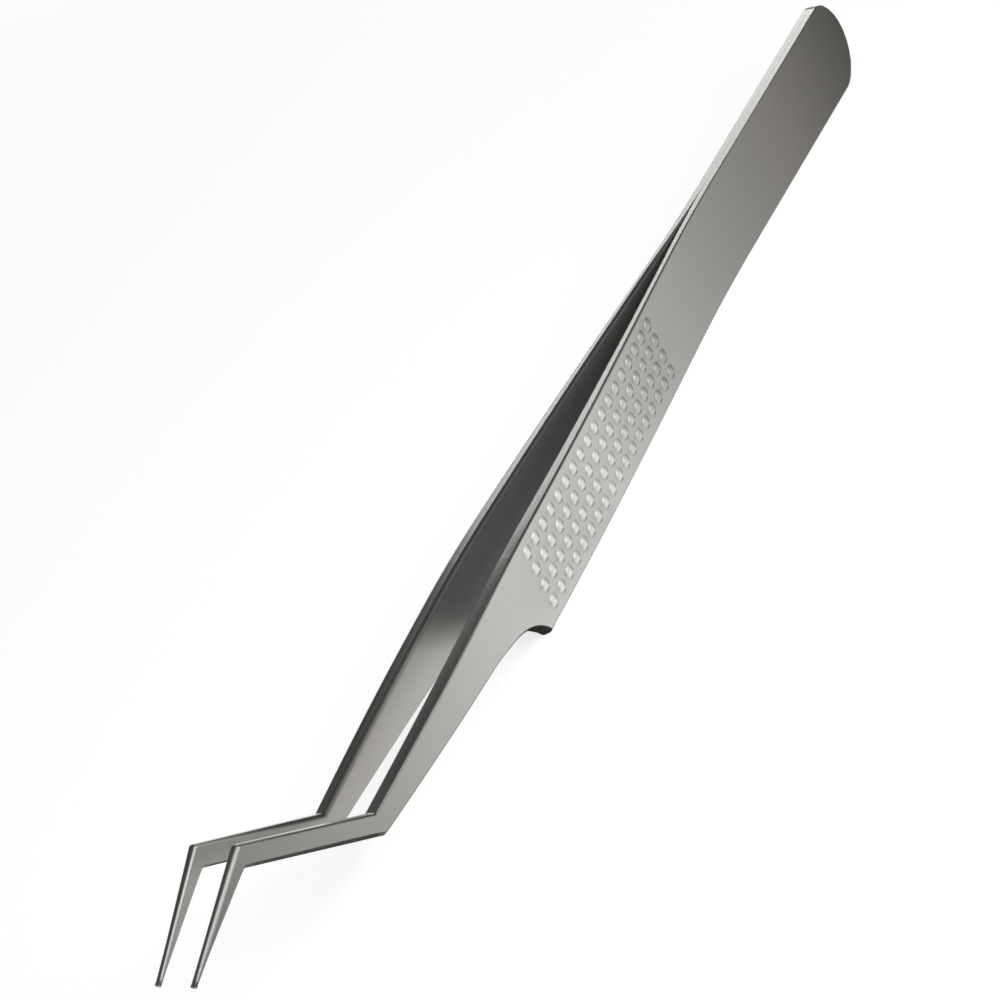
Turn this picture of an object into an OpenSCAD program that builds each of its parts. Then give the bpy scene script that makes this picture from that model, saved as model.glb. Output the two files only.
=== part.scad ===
// Angled-tip tweezers: two mirror-image steel blades, joined face to face at the butt.
// X runs from the butt to the tips, Y across the gap, Z up from the edge that they lie on.
// The origin is below the middle of the length, on the plane between the blades.

/* [Handle] */
// Length of the handle, from the butt end to the finger step
handle_len = 94.8; // [80:0.1:120]
// Width of a blade at the butt
butt_w = 10.6; // [9:0.1:12]
// Width of a blade at the finger step
grip_w = 9.3; // [8:0.1:11]
// Radius of the rounded butt end
butt_r = 6.2; // [6.1:0.1:9]
// Radius that blends the butt end into the long edges
butt_blend_r = 3; // [1:0.1:4]

/* [Grip dots] */
// Number of dots in a row along the handle
dot_rows = 18; // [4:1:24]
// Number of dots across the blade
dot_cols = 4; // [2:1:4]
// Spacing of the dots, both ways
dot_pitch = 2; // [1.6:0.1:2.1]
// Diameter of a dot
dot_d = 1.4; // [0.8:0.05:1.5]
// Height of a dot above the blade
dot_h = 0.25; // [0.1:0.01:0.35]
// Distance from the finger step to the first row of dots
dot_start = 2; // [1.5:0.1:6]

/* [Finger step and neck] */
// Height of the finger step in the lower edge
step_h = 3.5; // [1.5:0.1:4]
// Radius of the hollow behind the finger step
step_r = 7; // [4:0.1:10]
// Length of the neck, from the finger step to the first bend
neck_len = 30.7; // [20:0.1:45]
// Angle of the lower edge of the neck
neck_rise = 2; // [0:0.1:4]
// Angle of the upper edge of the neck
neck_fall = 4.4; // [3:0.1:6]

/* [Angled tips] */
// Length of the offset arm between the two bends
arm_len = 17.2; // [10:0.1:25]
// Width of the offset arm
arm_w = 2.05; // [1.5:0.05:3]
// Angle of the offset arm above the lower edge
arm_angle = 37.4; // [20:0.1:50]
// Length of the upper edge of a tip
tip_len = 12.1; // [8:0.1:18]
// Angle of the upper edge of a tip below level
tip_fall = 22.4; // [10:0.1:30]
// Angle between the two edges of a tip
tip_taper = 6.8; // [4:0.1:8]
// Width of a tip at its point
tip_w = 0.3; // [0.2:0.05:0.6]
// Radius of the corners at the two bends
bend_r = 0.4; // [0.1:0.05:0.6]

/* [Spring and gap] */
// Length over which the blades lie on each other
joined_len = 34.5; // [20:0.5:45]
// Length of the bend that parts the blades
parting_len = 15.5; // [10:0.5:25]
// Length of the straight spring behind the parting bend
spring_len = 6.5; // [2:0.5:15]
// Angle between a parted blade and the middle plane
spread_angle = 3.28; // [2:0.02:4]
// Length of the return bend that brings the blades parallel
return_len = 52.5; // [40:0.5:60]
// Angle at which each blade closes in again towards the tip
closing_angle = 1.2; // [0.6:0.05:1.4]
// Length of the bend that starts the closing in
closing_len = 16; // [8:0.5:20]

/* [Blade thickness] */
// Thickness of a blade at the butt and in the spring
spring_t = 0.75; // [0.5:0.05:1.2]
// Thickness of a blade where the neck starts
neck_t = 1.5; // [1:0.05:2]
// Thickness of a blade at the point of the tip
tip_t = 0.55; // [0.4:0.05:1]

/* [Hidden] */

// Steps in which the curved faces and the roundings are cut
face_step = 2;
arc_steps = 10;
// Length of a dot's foot, sunk into the blade
dot_foot = 0.25;
$fn = 40;

// Unit vectors along and beside the direction at angle a, and the turn from p to q
function along(a) = [cos(a), sin(a)];
function beside(a) = [-sin(a), cos(a)];
function cross2(p, q) = p[0] * q[1] - p[1] * q[0];

// Point where the line through p at angle a meets the line through q at angle b
function meet(p, a, q, b) = p + along(a) * cross2(q - p, along(b)) / cross2(along(a), along(b));

// Arc around c from angle a to angle b
function arc(c, r, a, b, n = arc_steps) = [for (i = [0:n]) c + r * along(a + (b - a) * i / n)];

// Rounded corner at q on the way from p to s
function corner(p, q, s, r) =
    let (u = (p - q) / norm(p - q), v = (s - q) / norm(s - q),
         half = acos(u * v) / 2,
         c = q + (u + v) / norm(u + v) * r / sin(half),
         start = q + u * r / tan(half) - c, stop = q + v * r / tan(half) - c,
         a = atan2(start[1], start[0]),
         turn = atan2(cross2(start, stop), start * stop))
    arc(c, r, a, a + turn);

// Upper edge of the handle and the neck
top_slope = atan((butt_w - grip_w) / handle_len);
function top_z(x) = butt_w - x * tan(top_slope);

// Butt end: a large arc between two blending arcs
blend_turn = asin((butt_w / 2 - butt_blend_r) / (butt_r - butt_blend_r));
blend_x = butt_r - (butt_r - butt_blend_r) * cos(blend_turn);

// Corners of the cranked front, from the finger step to the tip and back
step_foot = [handle_len, 0];
step_head = [handle_len, step_h];
neck_top = [handle_len, grip_w];
bend1_top = neck_top + neck_len * [1, -tan(neck_fall)];
arm_foot = bend1_top - arm_w * beside(arm_angle);
bend1_low = meet(step_head, neck_rise, arm_foot, arm_angle);
bend2_top = bend1_top + arm_len * along(arm_angle);
tip_top = bend2_top + tip_len * along(-tip_fall);
tip_low = tip_top - tip_w * beside(-tip_fall);
bend2_low = meet(tip_low, tip_taper - tip_fall, arm_foot, arm_angle);
total_len = tip_top[0];

// Hollow behind the finger step: an arc from its edge that runs into the neck
hollow_reach = -step_h * sin(neck_rise)
    + sqrt(2 * step_r * step_h * cos(neck_rise) - pow(step_h * cos(neck_rise), 2));
hollow_end = step_head + hollow_reach * along(neck_rise);
hollow_c = hollow_end - step_r * beside(neck_rise);
hollow_a = atan2(step_foot[1] - hollow_c[1], step_foot[0] - hollow_c[0]);

// Outline of a blade, seen from its side
outline = concat(
    arc([blend_x, butt_blend_r], butt_blend_r, 270, 180 + blend_turn),
    arc([butt_r, butt_w / 2], butt_r, 180 + blend_turn, 180 - blend_turn),
    arc([blend_x, butt_w - butt_blend_r], butt_blend_r, 180 - blend_turn, 90 - top_slope),
    [neck_top],
    corner(neck_top, bend1_top, bend2_top, bend_r),
    corner(bend1_top, bend2_top, tip_top, bend_r),
    [tip_top, tip_low],
    corner(tip_low, bend2_low, bend1_low, bend_r),
    corner(bend2_low, bend1_low, hollow_end, bend_r),
    arc(hollow_c, step_r, 90 + neck_rise, hollow_a)
);

// Stations of the inner face: distance from the butt, and slope away from the middle plane
parted = joined_len + parting_len;
sprung = parted + spring_len;
level = sprung + return_len;
closing = level + closing_len;
slopes = [
    [0, 0], [joined_len, 0], [parted, tan(spread_angle)], [sprung, tan(spread_angle)],
    [level, 0], [closing, -tan(closing_angle)], [total_len + face_step, -tan(closing_angle)]
];

// Height of the inner face above the middle plane: the slope added up to x
function rise(x, i) =
    let (a = slopes[i], b = slopes[i + 1], run = min(x, b[0]) - a[0],
         s = a[1] + (b[1] - a[1]) * run / (b[0] - a[0]))
    run <= 0 ? 0 : run * (a[1] + s) / 2;
function inner_y(x) = rise(x, 0) + rise(x, 1) + rise(x, 2) + rise(x, 3) + rise(x, 4) + rise(x, 5);

// Thickness: even at the butt, growing towards the neck, ground thinner towards the tip
function ease(w) = w * w * (3 - 2 * w);
function share(x, a, b) = max(0, min(1, (x - a) / (b - a)));
function thickness(x) = spring_t
    + (neck_t - spring_t) * ease(share(x, joined_len + parting_len / 2, level))
    - (neck_t - tip_t) * pow(share(x, level, total_len), 1.5);
function outer_y(x) = inner_y(x) + thickness(x);

// Section of a blade along its length, seen from above
stations = [for (x = [-face_step:face_step:total_len + face_step]) x];
last = len(stations) - 1;
side = concat(
    [for (x = stations) [x, inner_y(x)]],
    [for (i = [last:-1:0]) [stations[i], outer_y(stations[i])]]
);

// A dot: the cap of a sphere on a short foot in the blade
dot_ball_r = (pow(dot_d / 2, 2) + pow(dot_h, 2)) / (2 * dot_h);
dot_edge = (grip_w - (dot_cols - 1) * dot_pitch) / 2;
module dot() {
    intersection() {
        translate([0, 0, dot_h - dot_ball_r]) sphere(r = dot_ball_r);
        translate([0, 0, -dot_foot]) cylinder(d = dot_d, h = dot_foot + dot_h);
    }
}

// One blade, with its outer face towards +Y
module blade() {
    translate([-total_len / 2, 0, 0]) {
        intersection() {
            linear_extrude(height = butt_w + arm_len + arm_w) polygon(side);
            translate([0, outer_y(level) + neck_t, 0]) rotate([90, 0, 0])
                linear_extrude(height = outer_y(level) + 2 * neck_t) polygon(outline);
        }
        for (i = [0:dot_rows - 1], j = [0:dot_cols - 1]) {
            x = handle_len - dot_start - i * dot_pitch;
            lean = atan((outer_y(x + 0.5) - outer_y(x - 0.5)));
            translate([x, outer_y(x), top_z(x) - dot_edge - j * dot_pitch])
                rotate([0, 0, lean]) rotate([-90, 0, 0]) dot();
        }
    }
}

module left_blade() { color("silver") blade(); }
module right_blade() { color("silver") mirror([0, 1, 0]) blade(); }

left_blade();
right_blade();
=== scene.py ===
import math
import bpy
from mathutils import Matrix, Vector


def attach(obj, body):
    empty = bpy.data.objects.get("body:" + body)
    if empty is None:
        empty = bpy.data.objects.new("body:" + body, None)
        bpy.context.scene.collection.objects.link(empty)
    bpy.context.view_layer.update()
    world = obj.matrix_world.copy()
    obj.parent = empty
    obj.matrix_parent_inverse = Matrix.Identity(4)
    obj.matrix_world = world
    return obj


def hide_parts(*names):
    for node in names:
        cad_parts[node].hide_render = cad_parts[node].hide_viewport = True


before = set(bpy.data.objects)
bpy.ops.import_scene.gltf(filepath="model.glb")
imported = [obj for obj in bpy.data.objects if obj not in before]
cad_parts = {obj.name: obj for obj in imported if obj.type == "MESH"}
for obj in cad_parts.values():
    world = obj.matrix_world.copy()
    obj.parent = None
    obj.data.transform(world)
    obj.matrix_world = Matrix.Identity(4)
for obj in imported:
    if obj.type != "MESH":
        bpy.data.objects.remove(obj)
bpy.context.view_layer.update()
mm = 0.001

# the outline of a blade: sizes in millimetres, angles in degrees, x from the butt end to the tip and z up
# from the lower edge
blade = {
    "handleLength": 94.8, "buttWidth": 10.6, "gripWidth": 9.3, "buttRadius": 6.2, "buttBlend": 3.0,
    "stepHeight": 3.5, "hollowRadius": 7.0, "stepCorner": 0.18, "stepForward": 0.2,
    "hollowFill": 0.35, "fillStart": 0.5, "fillFull": 99.6, "fillEnd": 104.0,
    "neckLength": 30.7, "neckRise": 2.0, "neckFall": 4.4, "topBlend": 5.0,
    "armLength": 17.2, "armWidth": 2.05, "armAngle": 37.4, "bendRadius": 0.4,
    "tipLength": 12.1, "tipFall": 22.4, "tipTaper": 6.8, "tipWidth": 0.3,
}

# the rounding between a face and the ground edge: how far in from the outline it starts, and in brackets
# between which two x it changes; on the tips it is as deep as a share of the thickness
rounding = {
    "outerButt": 0.07, "outer": 0.22, "outerTip": 0.3, "buttEnd": (28.0, 60.0),
    "innerJoined": 0.004, "innerFront": 0.22, "innerRear": 0.36, "innerTip": 0.2, "apart": (38.5, 51.0),
    "neckFront": 0.15, "neckRear": 0.42, "neckLow": 0.08, "neckEnd": (82.0, 100.0),
    "lower": 0.26, "underArm": 0.42, "hollowEdge": 0.18, "corner": 0.12, "cornerGrowth": 0.5,
    "tip": (130.0, 141.0), "outerShare": 0.52, "innerShare": 0.3, "widthShare": 0.38, "support": 0.03,
    "bulge": 0.62, "bulgeShare": 0.5, "bulgeFrom": (94.2, 94.6), "bulgeTo": (95.8, 98.4),
}

# painted shade: how dark the roundings are painted, and how dark the finger step's hollow and the lower edge
# of the arm are painted in shade; the tips are ground bright, and the two rises say how soon each comes up
# across a rounding
shadeAndGrinding = {
    "outerLeast": 0.05, "outerFrom": (50.0, 95.0), "lowerShade": 0.45,
    "front": 0.6, "frontFrom": (104.0, 114.0), "rear": 0.88, "rise": 1.5,
    "ridge": 0.6, "ridgeFrom": (80.0, 95.0), "ridgeTo": (119.0, 125.0), "tipShine": 0.5, "shineRise": 2,
    "hollow": 0.98, "hollowFade": 0.5, "hollowTo": (98.0, 101.5),
    "under": 0.85, "underFrom": (125.0, 126.5), "underTo": (139.5, 141.0),
}

# how finely a blade is divided, section by section
mesh = {
    "across": 8, "buttBlend": 7, "handle": 96, "stepCorner": 4, "hollow": 14, "neck": 26, "bend": 6,
    "arm": 16, "tip": 16, "rounding": 6, "edgeRings": (0.25, 0.5, 0.75), "buttRows": 14, "buttEase": 1.5,
    "miterLeast": 0.35,
}


# plane geometry of the outline
def along(degrees):
    return Vector((math.cos(math.radians(degrees)), math.sin(math.radians(degrees))))


def beside(degrees):
    return Vector((-math.sin(math.radians(degrees)), math.cos(math.radians(degrees))))


def cross(p, q):
    return p.x * q.y - p.y * q.x


def meet(p, a, q, b):  # where the line through p at angle a meets the line through q at angle b
    return p + along(a) * cross(q - p, along(b)) / cross(along(a), along(b))


def arc(centre, radius, a, b, count):
    return [centre + radius * along(a + (b - a) * i / count) for i in range(count + 1)]


def straight(p, q, count):
    return [p + (q - p) * i / count for i in range(count + 1)]


def corner(p, q, s, radius, count):  # the rounded corner at q on the way from p to s
    u, v = (p - q).normalized(), (s - q).normalized()
    half = u.angle(v) / 2
    centre = q + (u + v).normalized() * radius / math.sin(half)
    start, stop = q + u * radius / math.tan(half) - centre, q + v * radius / math.tan(half) - centre
    first = math.degrees(math.atan2(start.y, start.x))
    turn = math.degrees(math.atan2(cross(start, stop), start.dot(stop)))
    return arc(centre, radius, first, first + turn, count)


def share(x, a, b):
    return max(0.0, min(1.0, (x - a) / (b - a)))


# the next two also work on the wires of a node tree
def mix(a, b, w):
    return a + (b - a) * w


def smooth(w):
    return w * w * (3 - 2 * w)


def fillHollow(p, centre):  # the neck runs into the hollow with a little more metal than a round arc leaves
    b = blade
    grown = mix(b["fillStart"], 1, smooth(share(p.x, b["handleLength"], b["fillFull"])))
    depth = b["hollowFill"] * grown * (1 - smooth(share(p.x, b["fillFull"], b["fillEnd"])))
    return p + Vector((max(0, centre.x - p.x), centre.y - p.y)).normalized() * depth


# the two long edges of a blade, matched point by point from the butt to the tip, and the two ends between
def bladeEdges():
    b, n, bent = blade, mesh, blade["bendRadius"]
    slope = math.degrees(math.atan((b["buttWidth"] - b["gripWidth"]) / b["handleLength"]))
    turn = math.degrees(math.asin((b["buttWidth"] / 2 - b["buttBlend"]) / (b["buttRadius"] - b["buttBlend"])))
    blendX = b["buttRadius"] - (b["buttRadius"] - b["buttBlend"]) * math.cos(math.radians(turn))
    stepFoot, stepHead = Vector((b["handleLength"], 0)), Vector((b["handleLength"], b["stepHeight"]))
    neckTop = Vector((b["handleLength"], b["gripWidth"]))
    bend1Top = neckTop + b["neckLength"] * Vector((1, -math.tan(math.radians(b["neckFall"]))))
    armFoot = bend1Top - b["armWidth"] * beside(b["armAngle"])
    bend1Low = meet(stepHead, b["neckRise"], armFoot, b["armAngle"])
    bend2Top = bend1Top + b["armLength"] * along(b["armAngle"])
    tipTop = bend2Top + b["tipLength"] * along(-b["tipFall"])
    tipLow = tipTop - b["tipWidth"] * beside(-b["tipFall"])
    bend2Low = meet(tipLow, b["tipTaper"] - b["tipFall"], armFoot, b["armAngle"])
    # the hollow behind the finger step
    rise, h, r = math.radians(b["neckRise"]), b["stepHeight"], b["hollowRadius"]
    reach = -h * math.sin(rise) + math.sqrt(2 * r * h * math.cos(rise) - (h * math.cos(rise)) ** 2)
    hollowEnd = stepHead + reach * along(b["neckRise"])
    hollowCentre = hollowEnd - r * beside(b["neckRise"])
    hollowStart = math.degrees(math.atan2(stepFoot.y - hollowCentre.y, stepFoot.x - hollowCentre.x))
    hollow = arc(hollowCentre, r, hollowStart, 90 + b["neckRise"], n["hollow"])
    front = stepFoot + Vector((b["stepForward"], 0))
    hollow = [front] + [fillHollow(p, hollowCentre) for p in hollow[1:]]
    behind = front - Vector((1, 0))
    foot = corner(behind, front, hollow[1], b["stepCorner"], n["stepCorner"])
    # the rounded bends and the butt
    low1 = corner(hollowEnd, bend1Low, bend2Low, bent, n["bend"])
    low2 = corner(bend1Low, bend2Low, tipLow, bent, n["bend"])
    top1 = corner(neckTop, bend1Top, bend2Top, bent, n["bend"])
    top2 = corner(bend1Top, bend2Top, tipTop, bent, n["bend"])
    lowCentre, topCentre = Vector((blendX, b["buttBlend"])), Vector((blendX, b["buttWidth"] - b["buttBlend"]))
    lowBlend = arc(lowCentre, b["buttBlend"], 180 + turn, 270, n["buttBlend"])
    topBlend = arc(topCentre, b["buttBlend"], 180 - turn, 90 - slope, n["buttBlend"])
    footTop = [neckTop + Vector((p.x - front.x, 0)) for p in foot]
    hollowTop = [neckTop + (bend1Top - neckTop) * (p.x - neckTop.x) / b["neckLength"] for p in hollow[1:]]
    low = (lowBlend[:-1] + straight(lowBlend[-1], foot[0], n["handle"])[:-1] + foot + hollow[1:-1]
           + [fillHollow(p, hollowCentre) for p in straight(hollowEnd, low1[0], n["neck"])[:-1]]
           + low1[:-1] + straight(low1[-1], low2[0], n["arm"])[:-1]
           + low2[:-1] + straight(low2[-1], tipLow, n["tip"]))
    top = (topBlend[:-1] + straight(topBlend[-1], footTop[0], n["handle"])[:-1] + footTop + hollowTop[:-1]
           + straight(hollowTop[-1], top1[0], n["neck"])[:-1]
           + top1[:-1] + straight(top1[-1], top2[0], n["arm"])[:-1]
           + top2[:-1] + straight(top2[-1], tipTop, n["tip"]))
    kink = math.tan(math.radians(b["neckFall"])) - math.tan(math.radians(slope))
    for p in top:  # the upper edge runs smoothly from the handle into the neck
        near = max(0, b["topBlend"] - abs(p.x - b["handleLength"]))
        p.y -= kink * near * near / (4 * b["topBlend"])
    centre = Vector((b["buttRadius"], b["buttWidth"] / 2))
    butt = arc(centre, b["buttRadius"], 180 + turn, 180 - turn, n["across"])
    point = straight(tipLow, tipTop, n["across"])
    return low, top, butt, point


def totalLength():
    return bladeEdges()[3][-1].x


def insetLoop(loop, insets):  # every point of a closed loop moved inwards by its own inset
    count, moved = len(loop), []
    for k in range(count):
        before = (loop[k] - loop[k - 1]).normalized()
        after = (loop[(k + 1) % count] - loop[k]).normalized()
        inwards = Vector((-before.y - after.y, before.x + after.x)).normalized()
        miter = max(mesh["miterLeast"], inwards.dot(Vector((-before.y, before.x))))
        moved.append(loop[k] + inwards * insets[k] / miter)
    return moved


def paintedLowShade(x, j):  # painted shade on the lower edge in the hollow and under the arm: how dark it is
    if j:
        return 0, 0
    w, step = shadeAndGrinding, blade["handleLength"]
    hollow = share(x, step - w["hollowFade"], step) * (1 - share(x, *w["hollowTo"])) * w["hollow"]
    under = share(x, *w["underFrom"]) * (1 - share(x, *w["underTo"])) * w["under"]
    return hollow, under


# at a point of the outline: the depth of the outer and the inner rounding, how far the point is on the tip,
# and how dark it is painted in shade
def roundingAt(p, j, width, mirrored):
    r = rounding
    room = width * r["widthShare"]
    if j == 0:
        room = min(room, r["corner"] + abs(p.x - blade["handleLength"]) * r["cornerGrowth"])
    hollow, under = paintedLowShade(p.x, j)
    tip = share(p.x, *r["tip"])
    broad, fine = ("innerRear", "neckRear") if mirrored else ("innerFront", "neckFront")
    opened = mix(r[broad], r[fine if j else "neckLow"], share(p.x, *r["neckEnd"]))
    opened = mix(r["innerJoined"], opened, share(p.x, *r["apart"]))
    if j:
        wide = mix(r["outerButt"], r["outer"], share(p.x, *r["buttEnd"]))
    else:
        wide = mix(mix(r["lower"], r["underArm"], under), r["hollowEdge"], hollow)
    outer, inner = mix(wide, r["outerTip"], tip), mix(opened, r["innerTip"], tip)
    return min(room, outer), min(room, inner), tip, max(hollow, under)


def stepBulge(x, j):  # the finger step is round across its thickness
    reach = 0 if j else share(x, *rounding["bulgeFrom"]) * (1 - smooth(share(x, *rounding["bulgeTo"])))
    return Vector((rounding["bulge"] * reach, 0))


# a blade laid flat: y holds the distance from the face that a point belongs to, and four attributes say which
# face that is, how dark its rounding is painted in shade, how far the point is ground, and how much painted
# shade it has
def flatBlade(name, mirrored):
    low, top, butt, point = bladeEdges()
    rows, cols = len(low), mesh["across"] + 1
    places = [(i, 0) for i in range(rows)] + [(rows - 1, j) for j in range(1, cols)]
    places += [(i, cols - 1) for i in range(rows - 2, -1, -1)] + [(0, j) for j in range(cols - 2, 0, -1)]
    edges = {(i, 0): p for i, p in enumerate(low)} | {(i, cols - 1): p for i, p in enumerate(top)}
    edges |= {(rows - 1, j): point[j] for j in range(cols)} | {(0, j): butt[j] for j in range(cols)}
    loop = [edges[place] for place in places]
    outer, inner, tips, dark = zip(*(roundingAt(p, j, (low[i] - top[i]).length, mirrored)
                                     for (i, j), p in zip(places, loop)))
    bulges = [stepBulge(p.x, j) for (i, j), p in zip(places, loop)]
    points, faces = [], []
    attributes = {"outer": [], "edge": [], "wall": [], "burnt": []}

    def inset(insets, t=0.0):
        return [p + b * rounding["bulgeShare"] * math.sin(t) for p, b in zip(insetLoop(loop, insets), bulges)]

    def addPoint(p, y, *values):
        points.append((p.x * mm, y * mm, p.y * mm))
        for listed, value in zip(attributes.values(), values):
            listed.append(value)
        return len(points) - 1

    # a ring round the blade at the turn t of a rounding: 0 on the face, a quarter turn on the ground edge
    def addRing(radii, side, t, wall=0):
        moved = inset([r * (1 - math.sin(t)) for r in radii], t)
        full, sign = (rounding["outerShare"], -1) if side else (rounding["innerShare"], 1)
        down = 1 - math.cos(t)
        ring = []
        for k, r in enumerate(radii):
            x, upper, body = loop[k].x, places[k][1] > 0, 1 - tips[k]
            # painted shade: the roundings are painted darker where they turn, and the hollow, the lower edge
            # of the arm and the rear blade's inner rounding darker still
            turned = (1 - wall) * body * min(1, shadeAndGrinding["rise"] * math.sin(2 * t))
            if side:
                edge = mix(shadeAndGrinding["outerLeast"], 1, share(x, *shadeAndGrinding["outerFrom"])) * turned
            else:
                edge = 0 if mirrored else shadeAndGrinding["front"] * turned * share(x, *shadeAndGrinding["frontFrom"])
            paintedDark = dark[k] if upper else max(dark[k], edge * shadeAndGrinding["lowerShade"])
            if side and wall and upper:
                edge = shadeAndGrinding["ridge"] * share(x, *shadeAndGrinding["ridgeFrom"]) * (1 - share(x, *shadeAndGrinding["ridgeTo"]))
            if mirrored and not side and not wall:
                rear = shadeAndGrinding["rear"] * share(x, *rounding["apart"])
                paintedDark = max(paintedDark, rear * body * min(1, shadeAndGrinding["rise"] * math.sin(t)))
            bright = max(wall, tips[k] * shadeAndGrinding["tipShine"] * min(1, shadeAndGrinding["shineRise"] * math.sin(t)))
            depth = sign * (r * body * down + rounding["support"] * body * wall)
            face = side + sign * full * tips[k] * down
            ring.append(addPoint(moved[k], depth, face, edge, bright, paintedDark))
        return ring

    def addBetween(a, b, w):  # a ring on the ground edge between two others
        out, ring = (1 - rounding["bulgeShare"]) * math.sin(math.pi * w), []
        for k, (m, n) in enumerate(zip(a, b)):
            p = Vector(points[m]).lerp(Vector(points[n]), w) / mm
            values = [mix(listed[m], listed[n], w) for listed in attributes.values()]
            ring.append(addPoint(Vector((p.x, p.z)) + bulges[k] * out, p.y, *values))
        return ring

    def addFace(radii, side):  # the grid that fills one face inside its rounding
        bounds = dict(zip(places, inset([r * (1 + rounding["support"] / rounding["outer"]) for r in radii])))
        ids = {}
        for i in range(rows):
            bend = (1 - share(i, 0, mesh["buttRows"])) ** mesh["buttEase"]
            for j in range(cols):
                v = j / (cols - 1)
                p = bounds.get((i, j))
                if p is None:
                    chord = bounds[(0, 0)].lerp(bounds[(0, cols - 1)], v)
                    p = bounds[(i, 0)].lerp(bounds[(i, cols - 1)], v) + (bounds[(0, j)] - chord) * bend
                ids[(i, j)] = addPoint(p, 0, side, 0, 0, 0)
        for i in range(rows - 1):
            for j in range(cols - 1):
                quad = [ids[(i, j)], ids[(i + 1, j)], ids[(i + 1, j + 1)], ids[(i, j + 1)]]
                faces.append(quad[::-1] if side else quad)
        return [ids[place] for place in places]

    quarter, count = math.pi / 2, mesh["rounding"]
    turns = [quarter * s / count for s in range(count + 1)]
    rings = [addFace(outer, 1)] + [addRing(outer, 1, t) for t in turns]
    walls = [addRing(outer, 1, quarter, 1), addRing(inner, 0, quarter, 1)]
    rings += [walls[0]] + [addBetween(*walls, w) for w in mesh["edgeRings"]] + [walls[1]]
    rings += [addRing(inner, 0, t) for t in turns[::-1]] + [addFace(inner, 0)]
    for a, b in zip(rings, rings[1:]):
        for k in range(len(loop)):
            m = (k + 1) % len(loop)
            faces.append([a[k], a[m], b[m], b[k]])
    plate = bpy.data.meshes.new(name)
    plate.from_pydata(points, [], faces)
    for label, values in attributes.items():
        plate.attributes.new(label, "FLOAT", "POINT").data.foreach_set("value", [float(v) for v in values])
    plate.update()
    plate.shade_smooth()
    return plate


# nodes: a wire is one socket that can be calculated with, and a web adds the nodes of one tree
class Wire:
    def __init__(self, web, node, out=0):
        self.web, self.node = web, node
        self.socket = node.outputs[out] if len(node.outputs) else None  # an output node has none

    def out(self, name):
        return Wire(self.web, self.node, name)

    def maths(self, operation, a, b=0.0):
        return self.web.add("ShaderNodeMath", {"operation": operation}, {0: a, 1: b})

    def __add__(self, other):
        return self.maths("ADD", self, other)

    def __radd__(self, other):
        return self.maths("ADD", other, self)

    def __sub__(self, other):
        return self.maths("SUBTRACT", self, other)

    def __rsub__(self, other):
        return self.maths("SUBTRACT", other, self)

    def __mul__(self, other):
        return self.maths("MULTIPLY", self, other)

    def __rmul__(self, other):
        return self.maths("MULTIPLY", other, self)

    def __truediv__(self, other):
        return self.maths("DIVIDE", self, other)

    def __rtruediv__(self, other):
        return self.maths("DIVIDE", other, self)

    def __pow__(self, other):
        return self.maths("POWER", self, other)

    def __rpow__(self, other):
        return self.maths("POWER", other, self)

    def within(self, low, high):  # kept between two values
        return self.maths("MAXIMUM", self.maths("MINIMUM", self, high), low)


class Web:
    def __init__(self, tree):
        self.nodes, self.links = tree.nodes, tree.links

    def add(self, kind, settings=None, values=None, out=0):
        node = self.nodes.new(kind)
        for name, value in (settings or {}).items():
            if name == "stops":
                ramp = node.color_ramp
                while len(ramp.elements) < len(value):
                    ramp.elements.new(0.5)
                for element, (place, colour) in zip(ramp.elements, value):
                    element.position, element.color = place, colour
            else:
                setattr(node, name, value)
        for name, value in (values or {}).items():
            if isinstance(value, Wire):
                self.links.new(value.socket, node.inputs[name])
            else:
                node.inputs[name].default_value = value
        return Wire(self, node, out)


def clearWeb(owner):  # the web of a material or a world, without its first nodes
    owner.use_nodes = True
    owner.node_tree.nodes.clear()
    return Web(owner.node_tree)


def mixColours(web, a, b, w):
    return web.add("ShaderNodeMix", {"data_type": "RGBA"}, {6: a, 7: b, 0: w}, out=2)


def product(web, a, b):  # of two colours or vectors
    return web.add("ShaderNodeVectorMath", {"operation": "MULTIPLY"}, {0: a, 1: b})


def position(web):  # the three coordinates of a point of the geometry
    parts = web.add("ShaderNodeSeparateXYZ", None, {0: web.add("GeometryNodeInputPosition")})
    return parts.out(0), parts.out(1), parts.out(2)


def store(web, geometry, name, value):  # a value on every point, for the material
    return web.add("GeometryNodeStoreNamedAttribute", {"data_type": "FLOAT", "domain": "POINT"},
                   {"Geometry": geometry, "Name": name, "Value": value})


def addObject(name, data):
    thing = bpy.data.objects.new(name, data)
    bpy.context.scene.collection.objects.link(thing)
    return thing


# how each blade bows and how thick it is along its length: lengths in millimetres, and plain values
bow = {
    "lengths": {
        "Joined Length": 34.5, "Parting Length": 15.5, "Spring Length": 6.5, "Return Length": 52.5,
        "Closing Length": 16.0, "Spring Thickness": 0.75, "Neck Thickness": 1.499, "Tip Thickness": 0.55,
    },
    "plain": {
        "Spread Slope": math.tan(math.radians(3.28)), "Closing Slope": -math.tan(math.radians(1.2)),
        "Grinding Power": 1.5,
    },
}


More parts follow.
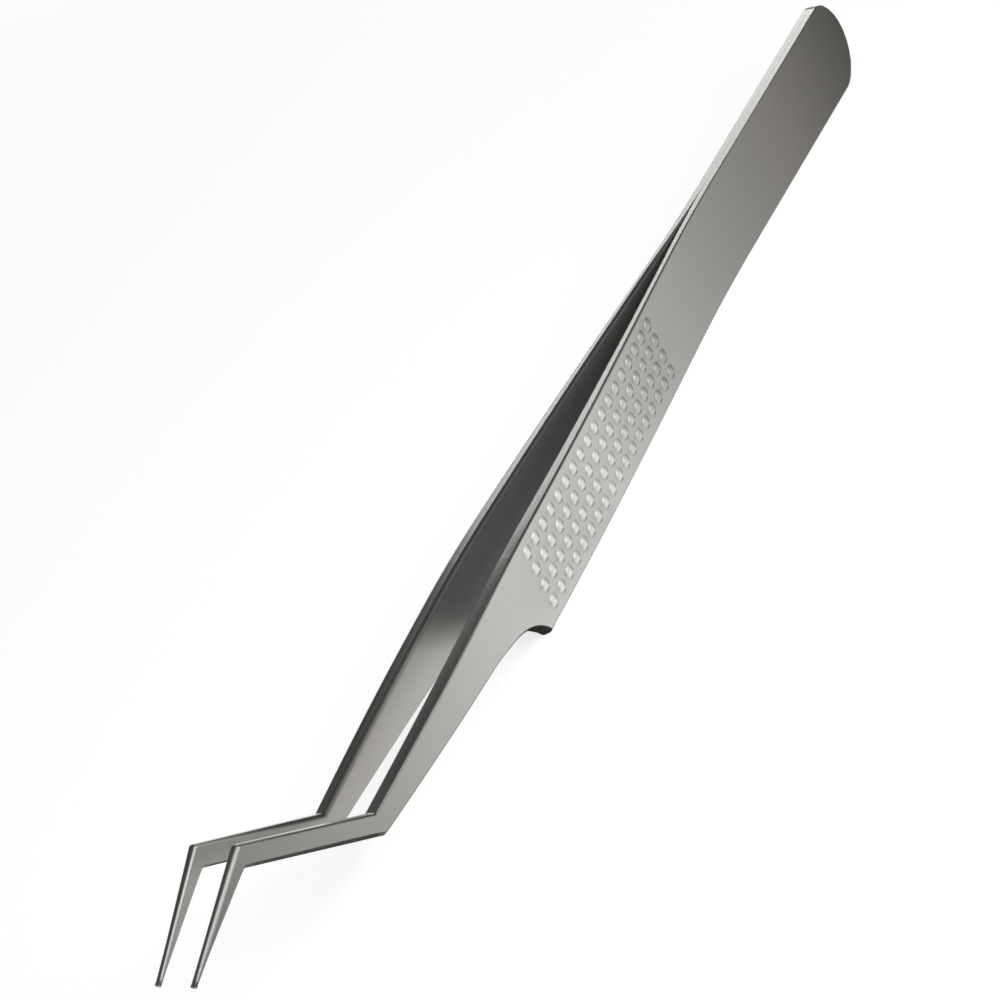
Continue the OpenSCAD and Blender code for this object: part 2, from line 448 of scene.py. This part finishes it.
# the inner and the outer face at a distance from the butt, from a slope that changes evenly between places
def bowHeights(x, size):
    starts = [0.0]
    for part in ("Joined", "Parting", "Spring", "Return", "Closing"):
        starts.append(starts[-1] + size(part + " Length"))
    length, spread, closing = size("Total Length"), size("Spread Slope"), size("Closing Slope")
    runs = [  # from, length, slope at its start and at its end
        (starts[1], size("Parting Length"), 0.0, spread),
        (starts[2], size("Spring Length"), spread, spread),
        (starts[3], size("Return Length"), spread, 0.0),
        (starts[4], size("Closing Length"), 0.0, closing),
        (starts[5], length - starts[5], closing, closing),
    ]
    height = 0.0
    for begin, reach, first, last in runs:
        run = (x - begin).within(0.0, reach)
        height = height + run * (first + (first + (last - first) * run / reach)) / 2.0
    middle = starts[1] + size("Parting Length") / 2.0
    grown = ((x - middle) / (starts[4] - middle)).within(0.0, 1.0)
    ground = ((x - starts[4]) / (length - starts[4])).within(0.0, 1.0)
    thick = mix(size("Spring Thickness"), size("Neck Thickness"), smooth(grown))
    thick = thick - (size("Neck Thickness") - size("Tip Thickness")) * ground ** size("Grinding Power")
    return height, height + thick


# the grip: rows of round dots with a soft foot, raised on the outer face, each painted lighter than the face
# and with painted shade on two flanks
dots = {
    "lengths": {
        "Dot Pitch": 2.0, "Dot Radius": 0.7, "Dot Height": 0.25, "Dot Foot": 0.1, "First Row": 2.0,
    },
    "plain": {
        "Dot Rows": 18, "Dot Columns": 4, "Dot Segments": 24, "Dot Rings": 16,
        "Dot Crown": 3.2, "Dot Softness": 0.35, "Foot Reach": 0.25, "Foot Turn": 0.7,
        "Skirt Start": 0.5, "Skirt Fade": 2.5, "Shade": 0.95, "Shade Reach": 0.45, "Shade Length": 0.6,
        "Butt Shade": 0.8, "Butt Shade X": -0.54, "Butt Shade Z": 0.2,
        "Low Shade X": 0.02, "Low Shade Z": -0.6,
    },
}
poleGap = 0.001  # keeps the direction from a dot's middle clear of a division by nought


# one dot: the upper half of a sphere pressed to a low crown with a soft foot, the lower half laid into the
# blade
def gripDot(web, size):
    ball = web.add("GeometryNodeMeshUVSphere", None, {
        "Segments": size("Dot Segments"), "Rings": size("Dot Rings"), "Radius": 1.0})
    x, y, z = position(web)
    around = (x * x + y * y) ** 0.5
    upper = z.maths("GREATER_THAN", z, 0.0)
    crown = 1.0 - around ** size("Dot Crown")
    lift = mix(crown, smooth(crown), size("Dot Softness")) * size("Dot Height") * upper
    lift = lift - (1.0 - upper) * (1.0 - around) * size("Dot Foot")
    # the foot runs out flatter towards the butt and the upper edge
    forth, over = x / (around + poleGap), y / (around + poleGap)
    flatter = ((over - forth) * size("Foot Turn")).within(0.0, 1.0)
    spread = size("Dot Radius") * (1.0 + around * around * flatter * flatter * size("Foot Reach"))
    pressed = web.add("ShaderNodeCombineXYZ", None, {0: x * spread, 1: lift, 2: y * spread})
    # painted shade on the flanks towards the butt and the lower edge; the painted lighter dot fades out over
    # the foot
    long, reach = size("Shade Length"), size("Shade Reach")
    buttX, buttZ = x - size("Butt Shade X"), (y - size("Butt Shade Z")) * long
    lowX, lowZ = (x - size("Low Shade X")) * long, y - size("Low Shade Z")
    buttSide = (1.0 - (buttX * buttX + buttZ * buttZ) ** 0.5 / reach).within(0.0, 1.0)
    lowSide = (1.0 - (lowX * lowX + lowZ * lowZ) ** 0.5 / reach).within(0.0, 1.0)
    paintedDark = (buttSide * size("Butt Shade") + lowSide).within(0.0, 1.0) * size("Shade")
    skirt = ((around - size("Skirt Start")) * size("Skirt Fade")).within(0.0, 1.0) * (1.0 - flatter)
    ball = store(web, ball, "burnt", paintedDark)
    ball = store(web, ball, "dot", 1.0 - skirt)
    dot = web.add("GeometryNodeSetPosition", None, {"Geometry": ball, "Position": pressed})
    return web.add("GeometryNodeFlipFaces", None, {"Mesh": dot})


# the square field of dots, its columns in line with the lower edge
def gripField(web, size, dot):
    fieldLength = size("Dot Pitch") * (size("Dot Rows") - 1.0)
    field = web.add("GeometryNodeMeshGrid", None, {
        "Size X": fieldLength, "Size Y": size("Dot Pitch") * (size("Dot Columns") - 1.0),
        "Vertices X": size("Dot Rows"), "Vertices Y": size("Dot Columns")})
    x, y = position(web)[:2]
    rowX = x + size("Handle Length") - size("First Row") - fieldLength / 2.0
    fall = (size("Butt Width") - size("Grip Width")) * rowX / size("Handle Length")
    rowZ = size("Butt Width") - fall - size("Grip Width") / 2.0 + y
    spot = web.add("ShaderNodeCombineXYZ", None, {0: rowX, 2: rowZ})
    field = web.add("GeometryNodeSetPosition", None, {"Geometry": field, "Position": spot})
    placed = web.add("GeometryNodeInstanceOnPoints", None, {"Points": field, "Instance": dot})
    placed = web.add("GeometryNodeRealizeInstances", None, {0: placed})
    placed = store(web, placed, "outer", 1.0)
    return web.add("GeometryNodeSetShadeSmooth", None, {0: placed})


def springBladeTree(finish):
    tree = bpy.data.node_groups.new("springBlade", "GeometryNodeTree")
    tree.interface.new_socket("Geometry", in_out="INPUT", socket_type="NodeSocketGeometry")
    values = {name: value * mm for part in (bow, dots) for name, value in part["lengths"].items()}
    values |= bow["plain"] | dots["plain"]
    values |= {"Total Length": totalLength() * mm, "Handle Length": blade["handleLength"] * mm,
               "Butt Width": blade["buttWidth"] * mm, "Grip Width": blade["gripWidth"] * mm}
    ids = {}
    for name, value in values.items():
        kind = "NodeSocketInt" if isinstance(value, int) else "NodeSocketFloat"
        ids[name] = tree.interface.new_socket(name, in_out="INPUT", socket_type=kind).identifier
    tree.interface.new_socket("Geometry", in_out="OUTPUT", socket_type="NodeSocketGeometry")
    web = Web(tree)
    given = web.add("NodeGroupInput")
    size = given.out
    grip = gripField(web, size, gripDot(web, size))
    whole = web.add("GeometryNodeJoinGeometry")
    for piece in (given, grip):
        web.links.new(piece.socket, whole.node.inputs[0])
    # everything is laid on the bow, the dots with the face that they stand on
    x, y, z = position(web)
    inner, outer = bowHeights(x, size)
    side = web.add("GeometryNodeInputNamedAttribute", {"data_type": "FLOAT"}, {"Name": "outer"})
    height = y + inner + (outer - inner) * side
    bent = web.add("ShaderNodeCombineXYZ", None, {0: x - size("Total Length") / 2.0, 1: height, 2: z})
    whole = web.add("GeometryNodeSetPosition", None, {"Geometry": whole, "Position": bent})
    whole = web.add("GeometryNodeRealizeInstances", None, {0: whole})
    whole = web.add("GeometryNodeSetMaterial", None, {"Geometry": whole, "Material": finish})
    web.add("NodeGroupOutput", None, {0: whole})
    return tree, {ids[name]: value for name, value in values.items()}


def makeBlade(name, node, tree, settings, mirrored):
    plate = addObject(name + "Plate", flatBlade(name + "Plate", mirrored))
    modifier = plate.modifiers.new("bow", "NODES")
    modifier.node_group = tree
    for identifier, value in settings.items():
        modifier[identifier] = value
    bpy.context.view_layer.update()
    evaluated = plate.evaluated_get(bpy.context.evaluated_depsgraph_get())
    done = bpy.data.meshes.new_from_object(evaluated)
    plate.modifiers.clear()
    bpy.data.objects.remove(plate)
    if mirrored:
        done.transform(Matrix.Diagonal((1, -1, 1, 1)))
        done.flip_normals()
    done.name = name
    piece = addObject(name, done)
    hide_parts(node)
    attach(piece, "root")
    print("made", name, len(done.polygons), "faces")


# satin stainless steel: fine blasted faces, ground edges with lines along them, painted shade on the
# roundings, in the hollow and on the dots' flanks; sizes in millimetres, pairs for a face and a ground edge,
# and painted light along the length as x, brightness and warmth
steel = {
    "face": (0.42, 0.42, 0.405), "wall": (0.56, 0.56, 0.545), "dot": (0.48, 0.48, 0.47),
    "edgeShadeColour": (0.18, 0.18, 0.17, 1), "shadeBlack": (0.042, 0.042, 0.038, 1),
    "faceRough": 0.5, "wallRough": 0.28, "edgeShadeRough": 0.3, "dotRough": 0.62,
    "blastSize": 0.09, "blastDetail": 3.0, "blastRoughness": 0.6, "cloudSize": 9.0, "cloudDetail": 3.0,
    "lineLength": 1.6, "lineWidth": 0.06, "lineDetail": 2.0,
    "grainTone": (0.12, 0.05), "grainRough": (0.08, 0.02), "cloudTone": 0.08, "cloudRough": 0.06,
    "relief": (1.0, 0.15), "blastDepth": 0.002, "bumpStrength": 0.5,
    "paintedLight": ((0, 0.17, 0.07), (20, 0.48, 0.05), (40, 0.7, 0.02), (58, 0.94, 0), (76, 1.28, 0), (100, 1.3, 0),
              (125, 0.84, 0.03), (138, 0.64, 0.02), (150, 0.4, -0.01)),
    "innerPaintedLight": ((0, 1.3, 0), (50, 1.15, 0), (70, 0.9, 0), (92, 0.76, 0), (99, 0.66, 0), (104, 1.26, 0.02),
                   (117, 1.05, 0.03), (124, 0.98, 0.03), (131, 0.84, 0.02), (138, 0.68, 0.01),
                   (147, 0.45, 0)),
    "wallPaintedLight": ((0, 0.8, 0.01), (40, 0.88, 0.01), (75, 1.1, 0), (92, 1.25, 0), (106, 1.15, 0),
                  (120, 1, 0.01)),
    "innerTilt": 1.2, "innerMiddle": 6.0,
}


def satinSteel():
    material = bpy.data.materials.new("satinSteel")
    web, s = clearWeb(material), steel
    place = web.add("ShaderNodeTexCoord", out="Object")
    edge, wall, paintedDark, dot, side = (web.add("ShaderNodeAttribute", {"attribute_name": label}, out="Fac")
                                   for label in ("edge", "wall", "burnt", "dot", "outer"))
    blast = web.add("ShaderNodeTexNoise", None, {
        "Vector": place, "Scale": 1 / (s["blastSize"] * mm), "Detail": s["blastDetail"],
        "Roughness": s["blastRoughness"]})
    cloud = web.add("ShaderNodeTexNoise", None, {
        "Vector": place, "Scale": 1 / (s["cloudSize"] * mm), "Detail": s["cloudDetail"]})
    drawn = product(web, place, [1 / (s[key] * mm) for key in ("lineLength", "lineWidth", "lineWidth")])
    lines = web.add("ShaderNodeTexNoise", None, {"Vector": drawn, "Scale": 1.0, "Detail": s["lineDetail"]})
    grain = mix(blast, lines, wall)
    # painted light and shade: the faces and ground edges are painted darker towards the butt and towards the
    # tips and brighter around the finger step, the inner faces also by height
    length = totalLength()
    xyz = web.add("ShaderNodeSeparateXYZ", None, {0: place})
    outerAt = xyz / (length * mm) + 0.5
    innerAt = outerAt - (xyz.out("Z") - s["innerMiddle"] * mm) * (s["innerTilt"] / (length * mm))
    lightPaints = []
    for key, at in (("innerPaintedLight", innerAt), ("paintedLight", outerAt), ("wallPaintedLight", outerAt)):
        stops = [(x / length, (tone * (1 + warm), tone, tone * (1 - warm), 1)) for x, tone, warm in s[key]]
        lightPaints.append(web.add("ShaderNodeValToRGB", {"stops": stops}, {"Fac": at}))
    innerLightPaint, outerLightPaint, wallLightPaint = lightPaints
    face = product(web, mixColours(web, innerLightPaint, outerLightPaint, side), s["face"])
    base = mixColours(web, face, product(web, wallLightPaint, s["wall"]), wall)
    # the dots are painted lighter than the face, with the painted light along the length laid on them twice
    raised = product(web, product(web, outerLightPaint, s["dot"]), outerLightPaint)
    base = mixColours(web, base, raised, dot)
    # painted shade: the roundings are painted dark
    base = mixColours(web, base, s["edgeShadeColour"], edge)
    speck, patch = grain - 0.5, cloud - 0.5  # noise lies about a half
    tone = 1.0 + speck * mix(*s["grainTone"], wall) + patch * s["cloudTone"]
    shaded = web.add("ShaderNodeVectorMath", {"operation": "SCALE"}, {0: base, "Scale": tone})
    rough = mix(mix(s["faceRough"], s["wallRough"], wall), s["edgeShadeRough"], edge)
    rough = mix(rough, s["dotRough"], dot) + patch * s["cloudRough"] + speck * mix(*s["grainRough"], wall)
    bump = web.add("ShaderNodeBump", None, {
        "Height": grain * mix(*s["relief"], wall), "Distance": s["blastDepth"] * mm,
        "Strength": s["bumpStrength"]})
    surface = web.add("ShaderNodeBsdfPrincipled", None, {
        "Base Color": shaded, "Metallic": 1.0, "Roughness": rough, "Normal": bump})
    # painted shade: where the attribute says, the steel gives way to a dark matte surface
    shadeBlack = web.add("ShaderNodeBsdfDiffuse", None, {"Color": s["shadeBlack"]})
    surface = web.add("ShaderNodeMixShader", None, {0: paintedDark, 1: surface, 2: shadeBlack})
    web.add("ShaderNodeOutputMaterial", None, {"Surface": surface})
    return material


finish = satinSteel()
print("steel mixed,", len(finish.node_tree.nodes), "nodes")
tree, settings = springBladeTree(finish)
print("blade tree built,", len(tree.nodes), "nodes")
makeBlade("leftBlade", "left_blade", tree, settings, False)
makeBlade("rightBlade", "right_blade", tree, settings, True)
bpy.data.node_groups.remove(tree)

# pale floor under the tweezers, with a faint glow of its own in what the camera and the metal see of it; to
# the camera it grows as white as the sky behind it, from near to far
floor = {"colour": (0.5, 0.5, 0.497, 1), "half": 3.0, "roughness": 0.9, "glow": 0.75, "near": 0.2, "far": 0.8}
black, white = (0, 0, 0, 1), (1, 1, 1, 1)


def grey(value):
    return value, value, value, 1


def paleFloor():
    half = floor["half"]
    sheet = bpy.data.meshes.new("floor")
    corners = [(-half, -half, 0), (half, -half, 0), (half, half, 0), (-half, half, 0)]
    sheet.from_pydata(corners, [], [(0, 1, 2, 3)])
    material = bpy.data.materials.new("paleFloor")
    web = clearWeb(material)
    path = web.add("ShaderNodeLightPath")
    seen = path.out("Is Camera Ray") + path.out("Is Glossy Ray") + path.out("Is Transmission Ray")
    glowing = mixColours(web, black, grey(floor["glow"]), seen.within(0.0, 1.0))
    place = web.add("ShaderNodeTexCoord", out="Object")
    away = web.add("ShaderNodeVectorMath", {"operation": "LENGTH"}, {0: place}, out="Value")
    distant = ((away - floor["near"]) / (floor["far"] - floor["near"])).within(0.0, 1.0)
    glowing = mixColours(web, glowing, white, distant * path.out("Is Camera Ray"))
    surface = web.add("ShaderNodeBsdfPrincipled", None, {
        "Base Color": floor["colour"], "Roughness": floor["roughness"], "Specular IOR Level": 0.0,
        "Emission Color": glowing, "Emission Strength": 1.0})
    web.add("ShaderNodeOutputMaterial", None, {"Surface": surface})
    sheet.materials.append(material)
    addObject("floor", sheet)


# softboxes: the point that they face, the direction that they stand in (azimuth, elevation), how far away
# they are, their width and height, all in metres, and the brightness of their cloth
lamps = {
    "sideSoftbox": {
        "faces": (0.015, 0, 0.006), "from": (95, 30), "away": 0.13, "size": (0.12, 0.09), "bright": 2.5},
    "highSoftbox": {
        "faces": (0, 0, 0), "from": (60, 65), "away": 0.5, "size": (0.4, 0.4), "bright": 2.0},
    "backSoftbox": {
        "faces": (0, 0, 0.006), "from": (213, 20), "away": 0.4, "size": (0.18, 0.056), "bright": 3.6},
    "backFill": {
        "faces": (0, 0, 0.006), "from": (220, 30), "away": 0.4, "size": (0.1, 0.05), "bright": 1.3},
}
skyStrength = 0.08  # what the sky adds to the lamps; the camera sees it white


def softbox(name, lamp):
    azimuth, elevation = (math.radians(a) for a in lamp["from"])
    towards = Vector((math.cos(azimuth) * math.cos(elevation), math.sin(azimuth) * math.cos(elevation),
                      math.sin(elevation)))
    width, height = lamp["size"]
    light = bpy.data.lights.new(name, "AREA")
    light.shape, light.size, light.size_y = "RECTANGLE", width, height
    light.energy = lamp["bright"] * math.pi * width * height
    holder = addObject(name, light)
    holder.location = Vector(lamp["faces"]) + towards * lamp["away"]
    holder.rotation_euler = towards.to_track_quat("Z", "Y").to_euler()


def studioWorld():
    world = bpy.data.worlds.new("studio")
    web = clearWeb(world)
    seen = web.add("ShaderNodeLightPath").out("Is Camera Ray")
    colour = mixColours(web, grey(skyStrength), white, seen)
    light = web.add("ShaderNodeBackground", None, {"Color": colour, "Strength": 1.0})
    web.add("ShaderNodeOutputWorld", None, {"Surface": light})
    bpy.context.scene.world = world


paleFloor()
for name, lamp in lamps.items():
    softbox(name, lamp)
studioWorld()
print("floor laid,", len(lamps), "softboxes placed")

# the camera stands where the photograph was taken from: place and clipping in metres, turn in radians,
# sensor and lens in millimetres
camera = {
    "place": (0.188377, 0.158545, 0.148005), "turn": (0.98475, 0.43235, 2.03577), "sensor": 36.0,
    "lens": 105.168, "clip": (0.01, 20),
}


def photoCamera():
    view = bpy.data.cameras.new("camera")
    view.sensor_fit, view.sensor_width, view.lens = "HORIZONTAL", camera["sensor"], camera["lens"]
    view.clip_start, view.clip_end = camera["clip"]
    holder = addObject("camera", view)
    holder.location, holder.rotation_euler = camera["place"], camera["turn"]
    bpy.context.scene.camera = holder


photoCamera()
bpy.context.scene.view_settings.view_transform = "Standard"
print("camera set")
